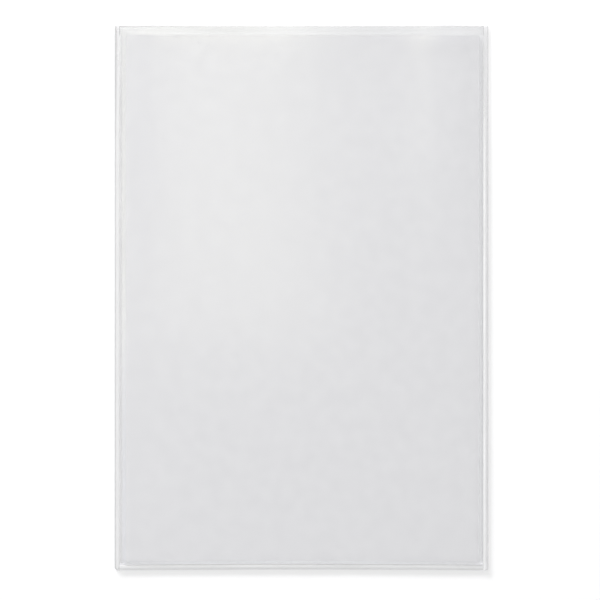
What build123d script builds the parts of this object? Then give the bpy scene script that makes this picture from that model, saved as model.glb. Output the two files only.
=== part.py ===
from build123d import *

import os

# A clear plastic sheet protector for one 10 x 15 cm print, lying flat on its back.
# Two soft films are welded together along the left, bottom and right edges. The top edge
# is left open as the mouth, and the sheet slides in and out through it.
#
# The frame: +X runs across the sleeve, +Y runs up it and out of the mouth, and +Z points
# up from the surface that it lies on. The origin is on that surface, under the middle of
# the sleeve. All sizes are in millimetres.

# The sheet that the sleeve is made for
sheet_width = 102.0
sheet_length = 152.0
sheet_thickness = 0.25

# The two films
film_thickness = 0.3
film_land = 0.15  # the front film's flat margin, which lies on the back film beside a weld

# The welds along the left, bottom and right edges
weld_width = 1.55
bottom_weld_width = 1.7
weld_crown = 0.15  # how far the bead stands above the two films
weld_trim_drop = 0.2  # how far its trimmed outer edge lies below the two films
left_corner_radius = 1.1
right_corner_radius = 0.6

# Room around the sheet, which lies nearer the right weld than the left one
left_room = 1.7  # from the sheet's left edge to the left weld
right_room = 1.0  # from the sheet's right edge to the right weld
bottom_room = 0.6  # from the sheet's lower edge to the bottom weld
mouth_room = 2.7  # from the sheet's upper edge to the mouth
sheet_clearance = 0.05  # between the sheet and each film
edge_clearance = 0.05  # from the sheet's edge to where the front film starts to slope down

# Heights above the surface
films_height = 2 * film_thickness
pocket_gap = sheet_thickness + 2 * sheet_clearance
pocket_floor = film_thickness
pocket_roof = pocket_floor + pocket_gap
front_height = films_height + pocket_gap

# Places across and along the sleeve, whose middle is the origin
pocket_x = (left_room + sheet_width + right_room) / 2
outer_x = pocket_x + weld_width
sheet_left = left_room - pocket_x
sheet_right = pocket_x - right_room
mouth_y = (bottom_weld_width + bottom_room + sheet_length + mouth_room) / 2
outer_y = -mouth_y
pocket_y = outer_y + bottom_weld_width
sheet_y = pocket_y + bottom_room

# Where the front film slopes from its margin up to the panel over the sheet
foot_x = pocket_x - film_land
left_top_x = sheet_left - edge_clearance
right_top_x = sheet_right + edge_clearance
bottom_foot_y = pocket_y + film_land
bottom_top_y = sheet_y - edge_clearance

# How far the shape that hollows the pocket runs, so that it opens the mouth
past_mouth_y = mouth_y + mouth_room


def prism(outline, plane, half_length):
    """The closed outline, drawn on the plane, carried half_length to each side of it."""
    return extrude(plane * make_face(outline), amount=half_length, both=True)


def box_between(low, high):
    """A block from its lowest corner to its highest."""
    size = [b - a for a, b in zip(low, high)]
    return Pos(*low) * Box(*size, align=(Align.MIN, Align.MIN, Align.MIN))


def back_film():
    """The flat film that the sleeve lies on."""
    return box_between((-pocket_x, pocket_y, 0), (pocket_x, mouth_y, film_thickness))


def front_film():
    """The front film: a panel over the sheet that slopes down to the back film at three sides.

    It is the space under the film's upper face, less the pocket under its lower face.
    """
    across = Polyline(
        (-pocket_x, pocket_floor),
        (pocket_x, pocket_floor),
        (pocket_x, films_height),
        (foot_x, films_height),
        (right_top_x, front_height),
        (left_top_x, front_height),
        (-foot_x, films_height),
        (-pocket_x, films_height),
        close=True,
    )
    along = Polyline(
        (pocket_y, pocket_floor),
        (mouth_y, pocket_floor),
        (mouth_y, front_height),
        (bottom_top_y, front_height),
        (bottom_foot_y, films_height),
        (pocket_y, films_height),
        close=True,
    )
    pocket_across = Polyline(
        (-foot_x, pocket_floor),
        (foot_x, pocket_floor),
        (right_top_x, pocket_roof),
        (left_top_x, pocket_roof),
        close=True,
    )
    pocket_along = Polyline(
        (bottom_foot_y, pocket_floor),
        (past_mouth_y, pocket_floor),
        (past_mouth_y, pocket_roof),
        (bottom_top_y, pocket_roof),
        close=True,
    )
    outside = prism(across, Plane.XZ, past_mouth_y) & prism(along, Plane.YZ, outer_x)
    pocket = prism(pocket_across, Plane.XZ, past_mouth_y) & prism(pocket_along, Plane.YZ, outer_x)
    return outside - pocket


def weld_section(outer, inward, width):
    """A bead's section: flat below, crowned above, from its trimmed edge to where the films enter."""
    inner = outer + inward * width
    middle = outer + inward * width / 2
    trimmed = films_height - weld_trim_drop
    return [
        Line((outer, 0), (outer, trimmed)),
        ThreePointArc((outer, trimmed), (middle, films_height + weld_crown), (inner, films_height)),
        Line((inner, films_height), (inner, 0)),
        Line((inner, 0), (outer, 0)),
    ]


def side_weld(side, corner_radius):
    """A side weld, on the left where side is -1 and on the right where it is 1.

    It runs on past the bottom weld, and its outer lower corner is rounded.
    """
    bead = prism(weld_section(side * outer_x, -side, weld_width), Plane.XZ, mouth_y)
    lower_edges = bead.edges().filter_by(Axis.Z).group_by(Axis.Y)[0]
    outer_edge = lower_edges.sort_by(lambda edge: side * edge.center().X)[-1]
    return fillet(outer_edge, corner_radius)


def bottom_weld():
    """The bottom weld, from one side weld to the other."""
    return prism(weld_section(outer_y, 1, bottom_weld_width), Plane.YZ, pocket_x)


def insert_sheet():
    """The sheet in the pocket, clear of both films."""
    low = (sheet_left, sheet_y, pocket_floor + sheet_clearance)
    high = (sheet_right, sheet_y + sheet_length, pocket_roof - sheet_clearance)
    return box_between(low, high)


pieces = {
    "back_film": back_film(),
    "front_film": front_film(),
    "left_weld": side_weld(-1, left_corner_radius),
    "right_weld": side_weld(1, right_corner_radius),
    "bottom_weld": bottom_weld(),
    "insert_sheet": insert_sheet(),
}

os.makedirs("parts", exist_ok=True)
for name, piece in pieces.items():
    export_step(piece, f"parts/{name}.step")
    size = piece.bounding_box().size
    print(f"{name}: {size.X:.2f} x {size.Y:.2f} x {size.Z:.2f} mm, {piece.volume:.1f} mm3")
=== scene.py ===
# %% [markdown]
# # A clear sheet protector
#
# A sheet protector is two soft clear films, welded together along three edges and left open
# at the top. A plain sheet lies in the pocket. Every piece is thin, so nearly all that a
# viewer sees is light: what shines through the films, and what they mirror.
#
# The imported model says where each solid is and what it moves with. It comes in first, so that
# each new surface can take its place from it, in metres, with no fitting by eye.

import bpy
import numpy as np
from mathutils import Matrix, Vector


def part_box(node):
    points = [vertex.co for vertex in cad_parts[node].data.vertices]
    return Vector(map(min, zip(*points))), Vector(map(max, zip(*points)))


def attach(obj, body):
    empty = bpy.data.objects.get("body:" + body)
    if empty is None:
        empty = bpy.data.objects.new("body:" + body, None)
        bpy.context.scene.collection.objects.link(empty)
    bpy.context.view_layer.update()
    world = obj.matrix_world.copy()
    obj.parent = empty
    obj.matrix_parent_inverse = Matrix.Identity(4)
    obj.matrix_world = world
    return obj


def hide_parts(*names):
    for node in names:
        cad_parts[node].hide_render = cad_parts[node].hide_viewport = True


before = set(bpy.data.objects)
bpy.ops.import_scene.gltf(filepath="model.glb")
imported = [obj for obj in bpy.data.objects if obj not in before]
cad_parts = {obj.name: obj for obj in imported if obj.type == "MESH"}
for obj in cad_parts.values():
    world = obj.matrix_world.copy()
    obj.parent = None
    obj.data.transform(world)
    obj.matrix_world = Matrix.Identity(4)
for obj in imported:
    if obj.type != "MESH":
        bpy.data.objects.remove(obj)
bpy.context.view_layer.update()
MM = 0.001


def corners(node):
    """A CAD node's lowest and highest corners at rest, as arrays in metres."""
    return [np.array(corner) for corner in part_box(node)]


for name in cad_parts:
    low, high = corners(name)
    print(f"{name}: from {(low / MM).round(3)} to {(high / MM).round(3)} mm")

# %% [markdown]
# ## One way to make every piece
#
# A film, a card and a flat bead are the same kind of shape: an upper face and an under face
# over one outline, joined by a wall round the rim. A cube could be scaled to that, but it
# could not billow, slope or carry a rounded corner. Here both faces are grids of points, and
# each piece only has to say where its points are.
#
# A piece's points can also carry marks, which are numbers that its finish reads later. A mark
# follows the shape exactly, where a painted picture would have to be laid over it.

# %% The slab that all pieces share
def ease(share):
    """Rises from 0 to 1 as share does, level at both ends: 3 share squared less 2 share cubed."""
    share = np.clip(share, 0, 1)
    return share * share * (3 - 2 * share)


def bell(distance, reach):
    """1 at no distance, falling smoothly on both sides: e to the power of -(distance / reach) squared."""
    return np.exp(-((distance / reach) ** 2))


def stations(stops, steps):
    """Positions from stop to stop, with each run between two stops in its own number of even steps."""
    runs = [np.linspace(a, b, n, endpoint=False) for a, b, n in zip(stops, stops[1:], steps)]
    return np.concatenate(runs + [stops[-1:]])


def grid(plan, height):
    """Points at plan places x and y and at a height, as an array of rows, columns and x, y, z."""
    return np.stack(np.broadcast_arrays(*plan, height), axis=-1)


def slab(name, upper, under, **marks):
    """A closed piece between two grids of points.

    Rows run along +Y and columns along +X. The upper grid's faces turn up and the under grid's
    turn down. The wall joins the two rims, read anticlockwise from above. Each mark is a pair of
    numbers or of arrays, for the points of the upper grid and for those of the under grid.
    """
    rows, columns = upper.shape[:2]
    count = rows * columns
    number = np.arange(count).reshape(rows, columns)
    around = [number[:-1, :-1], number[:-1, 1:], number[1:, 1:], number[1:, :-1]]
    top = np.stack(around, axis=-1).reshape(-1, 4)
    rim = np.concatenate([number[0, :-1], number[:-1, -1], number[-1, :0:-1], number[:0:-1, 0]])
    ahead = np.roll(rim, -1)
    wall = np.stack([rim + count, ahead + count, ahead, rim], axis=-1)
    faces = np.concatenate([top, top[:, ::-1] + count, wall])
    points = np.concatenate([upper.reshape(-1, 3), under.reshape(-1, 3)])

    mesh = bpy.data.meshes.new(name)
    mesh.from_pydata(points.tolist(), [], faces.tolist())
    mesh.shade_smooth()
    mesh.set_sharp_from_angle(angle=np.radians(40))
    for mark, (above, below) in marks.items():
        both = np.stack(np.broadcast_arrays(above, below, number)[:2]).astype(np.float32)
        mesh.attributes.new(mark, "FLOAT", "POINT").data.foreach_set("value", both.ravel())
    piece = bpy.data.objects.new(name, mesh)
    bpy.context.scene.collection.objects.link(piece)
    size = np.ptp(points, axis=0) / MM
    print(f"{name}: {len(faces)} faces, {size[0]:.2f} x {size[1]:.2f} x {size[2]:.2f} mm")
    return piece


def stand_for(piece, node, body):
    """The piece is shown in place of the CAD node and moves with its body."""
    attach(piece, body)
    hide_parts(node)


# %% [markdown]
# ## The sheet
#
# A plain card, cut square and a little soft at its corners. A cube with a bevel would do, but
# the corners are only a fraction of a millimetre. It is simpler to draw each row of the grid a
# little shorter as it nears an end, by the height of a quarter circle.

# %% The plain sheet
def corner_inset(from_end, radius):
    """How far a rounded corner draws in at a distance from the end: the radius less the half chord."""
    reach = np.clip(radius - from_end, 0, radius)
    return radius - np.sqrt(radius**2 - reach**2)


sheet_low, sheet_high = corners("insert_sheet")
sheet_corner = 0.7 * MM

sheet_y = stations(
    [sheet_low[1], sheet_low[1] + sheet_corner, sheet_high[1] - sheet_corner, sheet_high[1]],
    [8, 40, 8],
)[:, None]
inset = corner_inset(np.minimum(sheet_y - sheet_low[1], sheet_high[1] - sheet_y), sheet_corner)
row_width = sheet_high[0] - sheet_low[0] - 2 * inset
sheet_plan = (sheet_low[0] + inset + np.linspace(0, 1, 41) * row_width, sheet_y)

sheet = slab("plain_insert_sheet", grid(sheet_plan, sheet_high[2]), grid(sheet_plan, sheet_low[2]))
stand_for(sheet, "insert_sheet", "sheet")

# %% [markdown]
# ## The back film
#
# It lies flat on the table, so it is a plain slab. Only its lower edge isn't straight: the
# bottom weld shrank as it cooled and drew it up a little in the middle. A Boolean cut could
# shape that edge, but moving the grid's rows keeps the faces even.
#
# It carries three marks. Skin is 1 on the face that meets the air and 0 inside the pocket.
# Dark is painted shade along the cut edge at the mouth, which looks darker than a face of the film because
# light that enters it there leaves by another way. Sheen is what the film mirrors besides its usual share, in
# the margin at the sheet's left and at the left end of the strip above it.

# %% The back film
back_low, back_high = corners("back_film")
mouth_y = back_high[1]
cut_reach = 0.42 * MM
bow = 0.25 * MM
bow_reach = 6 * MM


def cut_edge_shade(x, y):
    """The painted shade on the cut edge: full at the mouth, falling evenly to 0 at its reach.

    It is 0.65 in the middle, and rises smoothly to 0.98 at the left end and 0.77 at the right.
    """
    left_end = ease((-x - 20 * MM) / (25 * MM))
    right_end = ease((x - 20 * MM) / (25 * MM))
    full = 0.65 + 0.33 * left_end + 0.12 * right_end
    return full * np.clip(1 - (mouth_y - y) / cut_reach, 0, 1)


def lower_bow(x):
    """How far the lower edge is drawn up: a parabola across the sleeve, highest in the middle."""
    return bow * (1 - (x / back_high[0]) ** 2)


def bowed(x, y):
    """Plan places of a film, moved up by the bow at the lower edge, and by less and less to its reach."""
    fade = 1 - ease((y - back_low[1]) / bow_reach)
    return np.broadcast_arrays(x, y + lower_bow(x) * fade)


margin_x = sheet_low[0] - 1.45 * MM
strip_y = sheet_high[1]
strip_rise = 0.6 * MM
back_x = stations([back_low[0], margin_x, sheet_low[0] + 0.2 * MM, back_high[0]], [4, 20, 58])
back_y = stations(
    [back_low[1], back_low[1] + bow_reach, strip_y, strip_y + strip_rise, mouth_y - 2 * cut_reach, mouth_y],
    [8, 76, 4, 4, 8],
)[:, None]
back_plan = bowed(back_x, back_y)

# The margin mirrors more in the lower half of the sleeve than in the upper.
in_margin = ease((back_x - margin_x) / (0.6 * MM)) * (back_x < sheet_low[0] + 0.15 * MM)
margin_sheen = in_margin * (0.26 + 0.23 * ease((20 * MM - back_y) / (50 * MM)))
strip_end = (1 - ease((back_x + 47 * MM) / (14 * MM))) * (back_x > back_low[0] + 0.2 * MM)
strip_sheen = 0.16 * strip_end * ease((back_y - strip_y) / strip_rise)

# The dark mark here is painted shade along the cut edge of the mouth.
back_film = slab(
    "clear_back_film",
    grid(back_plan, back_high[2]),
    grid(back_plan, back_low[2]),
    skin=(0, 1),
    dark=(cut_edge_shade(*back_plan), 0),
    sheen=(np.maximum(margin_sheen, strip_sheen), 0),
)
stand_for(back_film, "back_film", "sleeve")

# %% [markdown]
# ## The front film's shape
#
# The front film is held down by the welds and lifted by the sheet. Between them it slopes, and
# over the sheet it billows a little, most of all at the open mouth. Those billows are only
# tenths of a millimetre, but a glossy film shows them, because they turn what it mirrors.
#
# Cloth simulation could find such a shape. A sum of a few soft swellings is quicker, is the
# same each run, and never sinks into the sheet, because each swelling only lifts.

# %% The front film's shape
front_low, front_high = corners("front_film")
film_thickness = back_high[2] - back_low[2]
pocket_floor = back_high[2]
pocket_gap = front_high[2] - front_low[2] - film_thickness
land = 0.15 * MM
edge_clearance = 0.05 * MM

# Where the film leaves each weld, and where it has climbed to the height of the sheet
left_foot, left_top = front_low[0] + 2.5 * land, sheet_low[0] - edge_clearance
right_foot, right_top = front_high[0] - land, sheet_high[0] + edge_clearance
bottom_foot, bottom_top = front_low[1] + 0.4 * land, sheet_low[1] - edge_clearance

# Each swelling: its middle x and y, its reach in x and in y, and its height, all in millimetres
swellings = np.array([
    [2, 80, 16, 14, 0.27],
    [-28, 45, 24, 40, 0.16],
    [41, 60, 8, 45, 0.40],
    [4, -24, 42, 46, 0.10],
    [-41, 81, 14, 4, 0.45],
    [43, 81, 7, 4, 0.40],
]) * MM


def climb(x, y):
    """The share of the full height that the film has reached: the product of its slopes from three welds."""
    left = ease((x - left_foot) / (left_top - left_foot))
    right = ease((right_foot - x) / (right_foot - right_top))
    bottom = ease((y - bottom_foot) / (bottom_top - bottom_foot))
    return left * right * bottom


def billow(x, y):
    """The sum of the swellings, each a bell in x times a bell in y, held to nothing along the welds."""
    held = ease((x - left_top) / (9 * MM)) * ease((right_top - x) / (7 * MM))
    held = held * ease((y - bottom_top) / (12 * MM))
    middle_x, middle_y, reach_x, reach_y, height = swellings.T[:, :, None, None]
    bells = height * bell(x - middle_x, reach_x) * bell(y - middle_y, reach_y)
    return held * bells.sum(axis=0)


front_x = stations(
    [
        front_low[0], left_foot, left_top, left_top + 5 * MM,
        right_top - 5 * MM, right_top, right_foot, front_high[0],
    ],
    [2, 18, 8, 92, 8, 14, 2],
)
front_y = stations(
    [
        front_low[1], bottom_foot, bottom_top, bottom_top + bow_reach,
        strip_y - 0.5 * MM, strip_y + 0.5 * MM, mouth_y - 2 * cut_reach, mouth_y,
    ],
    [2, 12, 8, 138, 6, 4, 8],
)[:, None]
front_plan = bowed(front_x, front_y)
front_under = pocket_floor + pocket_gap * climb(front_x, front_y) + billow(front_x, front_y)
print(f"highest billow {billow(front_x, front_y).max() / MM:.3f} mm")

# %% [markdown]
# ## The front film's marks
#
# The film is creased where it leaves a side weld, and its lip clings to the back film in two places along the
# mouth. Both are given a little painted shade. Where it slopes down past the sheet it catches the light of
# the white room, and so does the soft bend over the sheet's upper edge.
# Finer geometry could bring these out by itself, but only with many more faces. Marks that
# are worked out from the distance to each edge do it on the same grid.

# %% The front film's marks
def past_edge(beyond):
    """0 over the sheet and 1 past its edge, with a smooth rise over a third of a millimetre."""
    return ease(beyond / (0.33 * MM) + 0.6)


def catch_light(beyond):
    """What the slope past the sheet's edge mirrors: full for 0.3 mm, then falling smoothly to 0 over 1 mm."""
    return past_edge(beyond) * (1 - ease((beyond - 0.3 * MM) / MM))


def crease_shade(inside):
    """Painted shade in the crease: 1 where the film leaves a weld, falling smoothly to 0 over half a
    millimetre.
    """
    return 1 - ease((inside - 0.15 * MM) / (0.35 * MM))


def clinging_lip_shade(x):
    """Painted shade where the lip clings to the back film: two bells across the mouth, between its swellings.
    """
    return 0.38 * bell(x + 22 * MM, 15.6 * MM) + 0.26 * bell(x - 20 * MM, 20.4 * MM)


above_sheet = front_y - strip_y
beside_sheet = 1 - ease(above_sheet / MM + 0.5)
# Painted shade where the film is creased beside the side welds, and where its lip clings.
painted_crease_shade = beside_sheet * (0.04 * crease_shade(front_x - front_low[0]) + 0.05 * crease_shade(front_high[0] - front_x))
lip = clinging_lip_shade(front_x) * ease(above_sheet / MM + 0.2)

right_slope = 0.42 * catch_light(front_x - sheet_high[0])
bottom_slope = 0.72 * catch_light(sheet_low[1] - front_y - 0.12 * MM)
slope_sheen = 1 - (1 - right_slope) * (1 - bottom_slope)
# The bend over the upper edge mirrors more in its right half. It fades down the sheet.
bend = np.exp(-np.abs(above_sheet) / (2.8 * MM)) * ease(0.35 - above_sheet / (0.8 * MM))
bend_sheen = bend * (0.06 + 0.10 * ease((front_x - 2 * MM) / (25 * MM)))

# The dark mark is painted shade: the cut edge, the creases and the clinging lip.
front_film = slab(
    "clear_front_film",
    grid(front_plan, front_under + film_thickness),
    grid(front_plan, front_under),
    skin=(1, 0),
    dark=(np.maximum(cut_edge_shade(*front_plan), painted_crease_shade + lip), 0),
    sheen=(np.maximum(slope_sheen * beside_sheet, bend_sheen), 0),
)
stand_for(front_film, "front_film", "sleeve")

# %% [markdown]
# ## A weld's section
#
# A weld is where a hot bar has melted the two films into one bead and trimmed them. Its
# section is a low crown: a trimmed outer edge, a rounded back, and a shallow groove where the
# bar's inner edge pressed into the films. A bevelled curve could carry such a section along
# an edge, but not change it on the way. A weld here is a grid whose one direction runs across
# the bead and whose other runs along it, with a slight unevenness, because the film creeps as
# it melts.

# %% A weld's section
films_height = 2 * film_thickness
trim_height = films_height - 0.2 * MM
crown_height = 0.20 * MM
roll_height = 0.2 * MM
groove_depth = 0.05 * MM
seam = 0.015 * MM
wall_share = 0.12
weld_u = stations([0, wall_share, 0.8, 1.0], [8, 22, 14])


def trimmed_wall(u):
    """1 at the trimmed outer edge, falling evenly to 0 within an eighth of the bead."""
    return np.clip(1 - u / wall_share, 0, 1)


def crown(u, fullness):
    """Height across a bead, where u is 0 at the outer edge and 1 at the inner edge.

    A slope runs from the trimmed edge up to the films. On it stands the crown, a parabola that
    is scaled by fullness. The roll takes the sharp lip off the outer edge, and the groove is a
    narrow bell just outside the inner edge.
    """
    slope = trim_height + (films_height - trim_height) * u
    arch = crown_height * 4 * u * (1 - u) * fullness
    roll = roll_height * trimmed_wall(u) ** 2
    groove = groove_depth * bell(u - 0.92, 0.05)
    return slope + arch - roll - groove


def unevenness(along, phase):
    """A slow wander from -1 to 1 along a weld: two sines whose lengths don't divide each other."""
    return 0.6 * np.sin(along / (7.3 * MM) + phase) + 0.4 * np.sin(along / (2.9 * MM) + 2.1 * phase)


print(f"a full bead is {crown(weld_u, 1).max() / MM:.3f} mm high, the two films {films_height / MM:.3f} mm")

# %% [markdown]
# ## A weld's marks
#
# The rounded back works as a lens: it gathers light along its middle and leaves a dark line at each side.
# Melted film is also milky, more so where the bar pressed harder. Real refraction would need far finer shapes
# and far longer renders, so the dark lines are painted shade. They and the milkiness are marks, which follow
# the bead round its corner. The under face carries them only at the trimmed edge, or the table below the bead
# would be darkened twice.

# %% A weld's marks
def painted_shade_lines(u, outer, inner, outer_to=0.34, inner_from=0.84):
    """The painted shade across the bead: an outer dark line that fades out by outer_to, and an inner one.

    The inner line comes in smoothly from inner_from.
    """
    return outer * (1 - ease((u - outer_to) / 0.26 + 1)) + inner * ease((u - inner_from) / 0.14)


def skin_of_bead(u):
    """1 over the bead, falling smoothly to 0 at its inner edge, where it and the films are one."""
    return 1 - ease((u - 0.94) / 0.06)


def weld(name, node, plan, across, height, line, cloud):
    """A bead between its crowned back and the table, with its marks."""
    skin = skin_of_bead(across)
    wall = trimmed_wall(across)
    piece = slab(
        name,
        grid(plan, height),
        grid(plan, corners(node)[0][2]),
        skin=(skin, skin),
        line=(line, line * wall),
        cloud=(cloud, cloud * wall),
    )
    stand_for(piece, node, "sleeve")
    return piece


# %% [markdown]
# ## The side welds
#
# Each runs the whole length of the sleeve, and its outer side is drawn in round the lower corner. At the
# mouth the bar pressed it flatter, so there it has less crown, is clearer and has other lines than further
# down. One function makes both. Mirroring the left bead would be quicker, but the two differ: the light comes
# from the left, so they carry different painted shade lines, and further down the right bead is milkier,
# which partly paints light on its shaded side.

# %% The side welds
crowned_by = 40 * MM
# The painted shade of each side bead's inner line beside the strip above the sheet.
strip_line = 1.25


def between(pair, share):
    """From the pair's first value to its second as share goes from 0 to 1."""
    first, second = pair
    return first + (second - first) * share


def side_weld(name, node, side, radius, phase, outer, outer_to, rim, inner, cloud, milky_by, knot):
    """One side's bead, on the left where side is -1 and on the right where it is 1.

    A pair is a value at the mouth and one further down: outer is how dark the outer line of painted shade is,
    outer_to is where it ends across the bead, and cloud is how milky the bead is, which it becomes by
    milky_by from the mouth. rim paints shade on the trimmed edge, inner is the painted shade line beside the
    sheet, and knot is a dark spot where the bead meets the bottom weld.
    """
    low, high = corners(node)
    outer_x, inner_x = (low[0], high[0] - seam) if side < 0 else (high[0], low[0] + seam)
    y = stations([low[1], low[1] + radius, high[1] - 8 * MM, high[1]], [14, 200, 24])[:, None]
    wander = unevenness(y, phase)
    start_x = outer_x - side * (corner_inset(y - low[1], radius) + 0.01 * MM * (1 + wander))
    across = weld_u if side < 0 else weld_u[::-1]
    x = start_x + across * (inner_x - start_x)

    crowned = ease((high[1] - y) / crowned_by)
    milky = ease((high[1] - y) / milky_by)
    past_sheet = ease((y - strip_y) / MM + 0.5)
    inner_line = between((inner, strip_line), past_sheet)
    line = painted_shade_lines(across, between(outer, crowned), inner_line, between(outer_to, crowned))
    spot = bell(across - 0.75, 0.25) * bell(y - low[1] - 0.6 * MM, 0.4 * MM)
    return weld(
        name,
        node,
        (x, y),
        across,
        height=crown(across, crowned * (1 + 0.06 * wander)),
        line=line + knot * spot + rim * trimmed_wall(across),
        cloud=between(cloud, milky) * (1 + 0.15 * wander),
    )


left_weld = side_weld(
    "left_weld_bead", "left_weld", side=-1, radius=1.1 * MM, phase=0.4,
    outer=(0.50, 0.49), outer_to=(0.62, 0.45), rim=0.34, inner=0.0,
    cloud=(0.19, 0.38), milky_by=20 * MM, knot=0.5,
)
# Further down, the right bead is milkier than the left, which partly paints light on its shaded side.
right_weld = side_weld(
    "right_weld_bead", "right_weld", side=1, radius=0.6 * MM, phase=1.9,
    outer=(0.50, 0.12), outer_to=(0.34, 0.55), rim=0.0, inner=0.16,
    cloud=(0.0972, 0.54), milky_by=55 * MM, knot=0.0,
)

# %% [markdown]
# ## The bottom weld
#
# The same bead, laid across between the side welds, and bowed with the films. Its rows run
# from the outer edge to the pocket, so here the section lies along the grid's rows instead of
# its columns. Turning a side weld by a quarter would do too, but then its place would no longer
# be in its mesh.

# %% The bottom weld
bottom_low, bottom_high = corners("bottom_weld")
bottom_x = np.linspace(bottom_low[0], bottom_high[0], 161)
bottom_across = weld_u[:, None]
bottom_wander = unevenness(bottom_x, 3.1)
bottom_start = bottom_low[1] + lower_bow(bottom_x) + 0.02 * MM * (1 + bottom_wander)
bottom_end = bottom_high[1] + lower_bow(bottom_x) - seam

# The bottom bead is the milkiest. Its milkiness is partly real and partly painted light on this shaded side.
bottom_weld = weld(
    "bottom_weld_bead",
    "bottom_weld",
    (bottom_x, bottom_start + bottom_across * (bottom_end - bottom_start)),
    bottom_across,
    height=crown(bottom_across, 1 + 0.06 * bottom_wander),
    line=painted_shade_lines(bottom_across, 0.03, 0.235, inner_from=0.54),
    cloud=0.65 * (1 + 0.12 * bottom_wander),
)

# %% [markdown]
# ## Shader sums as plain Python
#
# A material is a tree of nodes, and sums in it are Math nodes. Linking them by hand hides what
# they work out. A small class that wraps one output lets the sums be written as they read.

# %% A value in a node tree
class Value:
    """One output of a node. Sums with it add Math nodes to its tree."""

    def __init__(self, tree, output=None):
        self.tree, self.output = tree, output

    def node(self, kind, settings, sockets, output=0):
        """Adds a node: its settings first, then each socket's value or link. Gives one of its outputs."""
        made = self.tree.nodes.new(kind)
        for setting, choice in settings.items():
            setattr(made, setting, choice)
        for socket, given in sockets.items():
            if isinstance(given, Value):
                self.tree.links.new(given.output, made.inputs[socket])
            else:
                made.inputs[socket].default_value = given
        return Value(self.tree, made.outputs[output] if made.outputs else None)

    def math(self, operation, a, b):
        return self.node("ShaderNodeMath", {"operation": operation}, {0: a, 1: b})

    def __add__(self, other):
        return self.math("ADD", self, other)

    def __radd__(self, other):
        return self.math("ADD", other, self)

    def __sub__(self, other):
        return self.math("SUBTRACT", self, other)

    def __rsub__(self, other):
        return self.math("SUBTRACT", other, self)

    def __mul__(self, other):
        return self.math("MULTIPLY", self, other)

    def __rmul__(self, other):
        return self.math("MULTIPLY", other, self)

    def __pow__(self, other):
        return self.math("POWER", self, other)

    def at_least(self, other):
        """The larger of the two."""
        return self.math("MAXIMUM", self, other)

    def span(self, start, end, low=0.0, high=1.0):
        """low before start, high after end, and a smooth change between."""
        sockets = {"Value": self, "From Min": start, "From Max": end, "To Min": low, "To Max": high}
        return self.node("ShaderNodeMapRange", {"interpolation_type": "SMOOTHSTEP"}, sockets)

    def mark(self, name):
        """The number that a piece's points carry under this name."""
        return self.node("ShaderNodeAttribute", {"attribute_name": name}, {}, "Fac")

    def noise(self, scale, detail=2.0):
        """Soft noise from 0 to 1 in the piece's own place, with this many swells to the metre."""
        place = self.node("ShaderNodeTexCoord", {}, {}, "Object")
        return self.node("ShaderNodeTexNoise", {}, {"Vector": place, "Scale": scale, "Detail": detail}, "Fac")

    def bump(self, height, strength, depth):
        """A normal that leans with a height, of this depth in metres."""
        return self.node("ShaderNodeBump", {}, {"Height": height, "Strength": strength, "Distance": depth})

    def colour(self, share, first, second):
        """From the first colour to the second as share goes from 0 to 1."""
        return self.node("ShaderNodeMix", {"data_type": "RGBA"}, {0: share, 6: first, 7: second}, 2)

    def blend(self, share, first, second):
        """From the first shader to the second as share goes from 0 to 1."""
        return self.node("ShaderNodeMixShader", {}, {0: share, 1: first, 2: second})


def finish(name):
    """A new material with an empty tree."""
    material = bpy.data.materials.new(name)
    material.use_nodes = True
    material.node_tree.nodes.clear()
    return material, Value(material.node_tree)


def dress(material, shader, *pieces):
    """The shader becomes the material's surface, and the pieces wear it."""
    shader.node("ShaderNodeOutputMaterial", {}, {"Surface": shader})
    for piece in pieces:
        piece.data.materials.append(material)
    print(f"{material.name}: {len(material.node_tree.nodes)} nodes on {', '.join(p.name for p in pieces)}")


# %% [markdown]
# ## The card
#
# Uncoated card is matt and nearly white. Close to, its fibres lie in soft clouds that are a
# little lighter and darker, and the surface is very slightly rough. A scanned picture of card
# would show that too, but it would have to repeat. An even grey would look like plastic under
# the film. So two sizes of noise vary the colour by a few hundredths.

# %% The card's finish
card, paint = finish("plain_matt_card")
clouds = paint.noise(260, 4)
fibres = paint.noise(2600, 3)
tone = 0.5 * clouds + 0.5 * fibres
card_colour = paint.colour(tone.span(0.3, 0.7), (0.721, 0.721, 0.739, 1), (0.761, 0.761, 0.777, 1))
card_shader = paint.node("ShaderNodeBsdfPrincipled", {}, {
    "Base Color": card_colour,
    "Roughness": tone.span(0.3, 0.7, 0.95, 0.82),
    "Normal": paint.bump(fibres, 0.25, 0.02 * MM),
})
dress(card, card_shader, sheet)

# %% [markdown]
# ## The clear films
#
# Soft clear film does three things to light. Most goes through, slightly dimmed. A little is
# scattered by the haze in the film and by fine scuffs on it. And each outer face mirrors about
# a twenty-fifth of what it sees, more at a slant.
#
# A glass shader would bend the light too, but a film this thin hardly shifts what is behind
# it, and glass throws a solid shadow. So a transparent shader is blended with a hazy one, and
# both with a mirror, by Schlick's rule: the mirror's share rises with the fifth power of slant.
#
# The table looks a little grey through both films, and the sheet doesn't through the front one
# alone. So the back film is the greyer of the two.

# %% The clear films' finish
def mirror_share(paint):
    """Schlick's rule for clear plastic: 0.04 straight on, rising by the fifth power of slant to 0.64."""
    slant = paint.node("ShaderNodeLayerWeight", {}, {"Blend": 0.5}, "Facing")
    return 0.04 + 0.6 * slant**5


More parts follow.
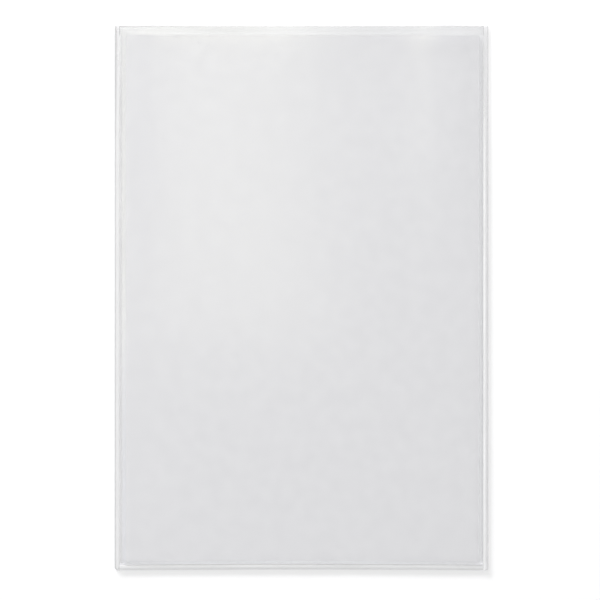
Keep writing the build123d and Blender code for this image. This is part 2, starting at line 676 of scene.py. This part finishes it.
def dress_film(name, piece, through, mirrored):
    """A clear film's finish: the colour that each face lets through, and the tint of what it mirrors.

    The skin mirrors and is hazy. The mark dark adds a cover of painted shade, and sheen adds to the mirror.
    """
    film, paint = finish(name)
    skin = paint.mark("skin")
    dark = paint.mark("dark")
    scuffs = paint.noise(900, 3).span(0.5, 0.8)
    swirl = paint.noise(45, 2)
    cover = skin * (0.018 + 0.015 * scuffs + 0.008 * swirl) + 0.35 * dark
    # The near-black colour is painted shade, which the dark mark lays over the film.
    colour = paint.colour(dark, (0.95, 0.95, 0.955, 1), (0.06, 0.06, 0.062, 1))
    body = paint.node("ShaderNodeBsdfPrincipled", {}, {"Base Color": colour, "Roughness": 0.6})
    clear = paint.node("ShaderNodeBsdfTransparent", {}, {"Color": (*through, 1)})
    gloss = paint.node("ShaderNodeBsdfAnisotropic", {}, {
        "Color": (*mirrored, 1),
        "Roughness": scuffs.span(0, 1, 0.16, 0.24),
        "Normal": paint.bump(swirl, 0.1, 0.1 * MM),
    })
    mirror = skin * mirror_share(paint) + paint.mark("sheen")
    dress(film, paint.blend(mirror, paint.blend(cover, clear, body), gloss), piece)


dress_film("clear_front_film", front_film, (0.996, 0.996, 0.997), (0.97, 0.975, 1))
dress_film("greyer_back_film", back_film, (0.9735, 0.974, 0.9755), (0.96, 0.965, 1))

# %% [markdown]
# ## The beads
#
# Melted film is cloudier than the film itself, and tiny bubbles are caught in it. The finish is the film's
# again, a clear shader blended with a milky one and both with a mirror. The mark cloud says how milky a point
# is, and the mark line how dark its painted shade is.

# %% The beads' finish
bead, paint = finish("melted_film_bead")
skin = paint.mark("skin")
lines = paint.mark("line")
bubbles = paint.noise(1500, 2).span(0.45, 0.75)
# The line mark is painted shade: it lays a near-black cover along the bead.
bead_cover = skin * (paint.mark("cloud") + 0.02 * bubbles) + 0.4 * lines
bead_colour = paint.colour(lines, (0.955, 0.957, 0.970, 1), (0.10, 0.10, 0.105, 1))
bead_body = paint.node("ShaderNodeBsdfPrincipled", {}, {"Base Color": bead_colour, "Roughness": 0.35})
bead_clear = paint.node("ShaderNodeBsdfTransparent", {}, {"Color": (0.975, 0.975, 0.977, 1)})
bead_gloss = paint.node("ShaderNodeBsdfAnisotropic", {}, {
    "Color": (1, 1, 1, 1),
    "Roughness": 0.14 + 0.05 * bubbles,
})
bead_inside = paint.blend(bead_cover, bead_clear, bead_body)
bead_shader = paint.blend(skin * mirror_share(paint), bead_inside, bead_gloss)
dress(bead, bead_shader, left_weld, right_weld, bottom_weld)

# %% [markdown]
# ## The floor
#
# The sleeve lies on a white table. More light would make it white, but would bleach the sleeve
# as well. So a matt floor, a little cool, keeps the soft shadow, and a glow that only a camera,
# a mirror or a window sees lifts it to white. The glow grows away from the middle, where the
# lamps reach less, and it puts no light on the sleeve.

# %% The white floor
floor_half = 4.0
floor_drop = 0.05 * MM
floor_plan = floor_half * np.array([[-1, -1], [1, -1], [1, 1], [-1, 1]])
floor_points = np.column_stack([floor_plan, np.full(4, -floor_drop)])
floor_mesh = bpy.data.meshes.new("white_floor")
floor_mesh.from_pydata(floor_points.tolist(), [], [[0, 1, 2, 3]])
floor = bpy.data.objects.new("white_floor", floor_mesh)
bpy.context.scene.collection.objects.link(floor)

BLACK = (0, 0, 0, 1)
WHITE = (1, 1, 1, 1)


def seen(paint):
    """1 for a ray from the camera, a mirror or a window, and 0 for the others."""
    camera, mirrored, through = (
        paint.node("ShaderNodeLightPath", {}, {}, kind)
        for kind in ("Is Camera Ray", "Is Glossy Ray", "Is Transmission Ray")
    )
    return camera.at_least(mirrored).at_least(through)


white, paint = finish("white_table")
floor_place = paint.node("ShaderNodeTexCoord", {}, {}, "Object")
from_middle = paint.node("ShaderNodeVectorMath", {"operation": "LENGTH"}, {0: floor_place}, "Value")
glow = from_middle.span(0.15, 1.2, 0.28, 0.50) * seen(paint)
floor_matt = paint.node("ShaderNodeBsdfDiffuse", {}, {"Color": (0.72, 0.7215, 0.7305, 1)})
floor_glow = paint.node("ShaderNodeEmission", {}, {"Color": paint.colour(glow, BLACK, WHITE)})
dress(white, paint.node("ShaderNodeAddShader", {}, {0: floor_matt, 1: floor_glow}), floor)

# %% [markdown]
# ## The light
#
# A wide low softbox at the upper left throws the short shadow below and to the right, softer
# than a sun lamp would, and is kept out of the film's mirror. A warm softbox overhead is there
# to be mirrored: it is the broad glow on the upper left of the film. A small fill lifts the
# sheet below that glow. The room looks white, and its light is white near the horizon and
# greyer overhead.

# %% The lamps and the room
def softbox(name, place, size, watts, target, mirrored, colour=(1, 1, 1)):
    """A flat lamp whose -Z axis points from its place to the target. The film mirrors it or not."""
    width, height = size
    lamp = bpy.data.lights.new(name, "AREA")
    lamp.shape = "RECTANGLE"
    lamp.size, lamp.size_y, lamp.energy, lamp.color = width, height, watts, colour
    box = bpy.data.objects.new(name, lamp)
    aim = np.array(place) - np.array(target)
    aim = aim / np.linalg.norm(aim)
    side = np.cross([0, 0, 1], aim) if abs(aim[2]) < 0.99 else np.array([1.0, 0, 0])
    side = side / np.linalg.norm(side)
    turn = np.eye(4)
    turn[:3] = np.column_stack([side, np.cross(aim, side), aim, place])
    box.matrix_world = turn.T.tolist()
    box.visible_camera, box.visible_glossy = False, mirrored
    bpy.context.scene.collection.objects.link(box)
    print(f"{name}: {watts} W, brightness {watts / (np.pi * width * height):.1f}")


key_bearing = np.array([-0.54, 0.84])
key_distance, key_elevation = 2.0, np.radians(13.5)
key_place = [*(key_bearing * key_distance * np.cos(key_elevation)), key_distance * np.sin(key_elevation)]
softbox("low_softbox", key_place, (1.5, 0.266), 61.5, (0, 0, 0), mirrored=False)

glow_x, glow_y = -0.046, 0.12
softbox(
    "overhead_softbox", (glow_x, glow_y, 0.76), (0.118, 0.30), 0.18, (glow_x, glow_y, 0),
    mirrored=True, colour=(1.0, 0.985, 0.76),
)
fill_x, fill_y = -0.085, 0.07
softbox(
    "fill_softbox", (fill_x, fill_y, 0.27), (0.2, 0.2), 0.080, (fill_x, fill_y, 0),
    mirrored=False, colour=(1.0, 0.995, 0.97),
)

world = bpy.data.worlds.new("white_room")
bpy.context.scene.world = world
world.use_nodes = True
world.node_tree.nodes.clear()
room = Value(world.node_tree)
direction = room.node("ShaderNodeTexCoord", {}, {}, "Generated")
up = room.node("ShaderNodeVectorMath", {"operation": "DOT_PRODUCT"}, {0: direction, 1: (0, 0, 1)}, "Value")
brightness = seen(room).at_least(up.span(0.1, 0.45, 1.0, 0.63))
backdrop = room.node("ShaderNodeBackground", {}, {"Color": room.colour(brightness, BLACK, WHITE)})
room.node("ShaderNodeOutputWorld", {}, {"Surface": backdrop})

# %% [markdown]
# ## The camera
#
# The photograph looks straight down, with the sleeve a little off the middle of the frame. An
# orthographic camera would keep the edges square, but a photograph has some perspective. So a
# long lens looks down from the height at which the frame is as wide as it is there.

# %% The camera
scene = bpy.context.scene
scene.view_settings.view_transform = "Standard"

frame_width = 173.15 * MM
frame_middle = (-0.42 * MM, -0.485 * MM)
frame_height = 0.2 * MM
lens, sensor = 120.0, 36.0
camera_data = bpy.data.cameras.new("above")
camera_data.lens, camera_data.sensor_width = lens, sensor
camera_data.clip_start = 0.01
camera = bpy.data.objects.new("above", camera_data)
camera.location = (*frame_middle, frame_height + frame_width * lens / sensor)
scene.collection.objects.link(camera)
scene.camera = camera
print(f"camera {camera.location.z / MM:.0f} mm above the table")
